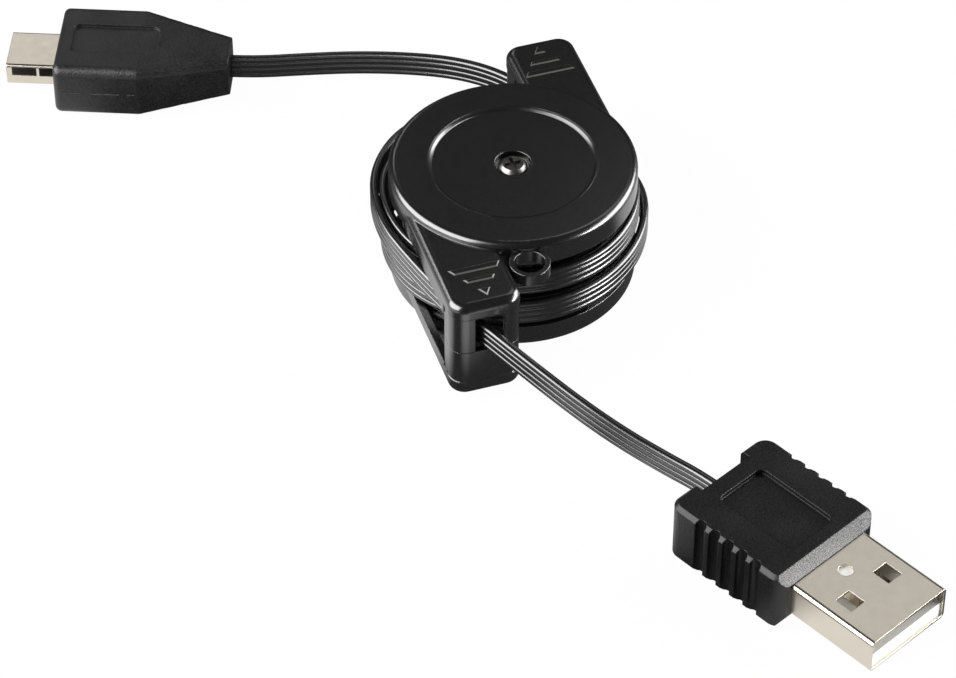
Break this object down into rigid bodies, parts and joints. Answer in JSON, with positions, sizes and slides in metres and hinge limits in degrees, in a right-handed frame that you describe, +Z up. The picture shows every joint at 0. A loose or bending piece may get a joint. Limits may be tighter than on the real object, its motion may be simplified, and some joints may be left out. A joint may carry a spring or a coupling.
{
  "type": "retractable usb cable",
  "caption": "Round retractable cable reel with a flat cord leaving each of its two opposite arms, one ending in a USB-A plug and one in a small five-contact plug.",
  "frame": {"origin": "on the table under the centre of the reel", "axes": "+Z up along the spool's axis, +Y along the arms towards the arm that the small plug's cord leaves, +X across the arms"},
  "size_m": [0.0768, 0.1317, 0.0162],
  "materials": {
    "housing_plastic": "satin black, fine grain",
    "spool_plastic": "satin black",
    "cord_jacket": "glossy black, ribbed",
    "grip_plastic": "matte black, fine grain",
    "plug_nickel": "satin nickel",
    "screw_metal": "nickel plated",
    "spring_steel": "bright rolled steel",
    "contact_gold": "gold plated",
    "tongue_white": "satin white",
    "tongue_black": "satin black"
  },
  "bodies": {
    "housing": {"top_shell": "housing_plastic", "bottom_shell": "housing_plastic", "centre_screw": "screw_metal", "ratchet_ball": "spring_steel", "cord_a": "cord_jacket", "cord_b": "cord_jacket", "large_plug_grip": "grip_plastic", "large_plug_shell": "plug_nickel", "large_plug_tongue": "tongue_white", "large_plug_contact_1": "contact_gold", "large_plug_contact_2": "contact_gold", "large_plug_contact_3": "contact_gold", "large_plug_contact_4": "contact_gold", "small_plug_grip": "grip_plastic", "small_plug_shell": "plug_nickel", "small_plug_tongue": "tongue_black", "small_plug_contact_1": "contact_gold", "small_plug_contact_2": "contact_gold", "small_plug_contact_3": "contact_gold", "small_plug_contact_4": "contact_gold", "small_plug_contact_5": "contact_gold"},
    "reel_spool": {"spool": "spool_plastic", "mainspring": "spring_steel", "wound_cord_upper": "cord_jacket", "wound_cord_lower": "cord_jacket"}
  },
  "joints": [
    {"name": "spool_spin", "type": "hinge", "parent": "housing", "child": "reel_spool", "pos_m": [0, 0, 0.0081], "axis": [0, 0, 1], "range_deg": [-110, 1800], "deforming": ["mainspring"]}
  ]
}
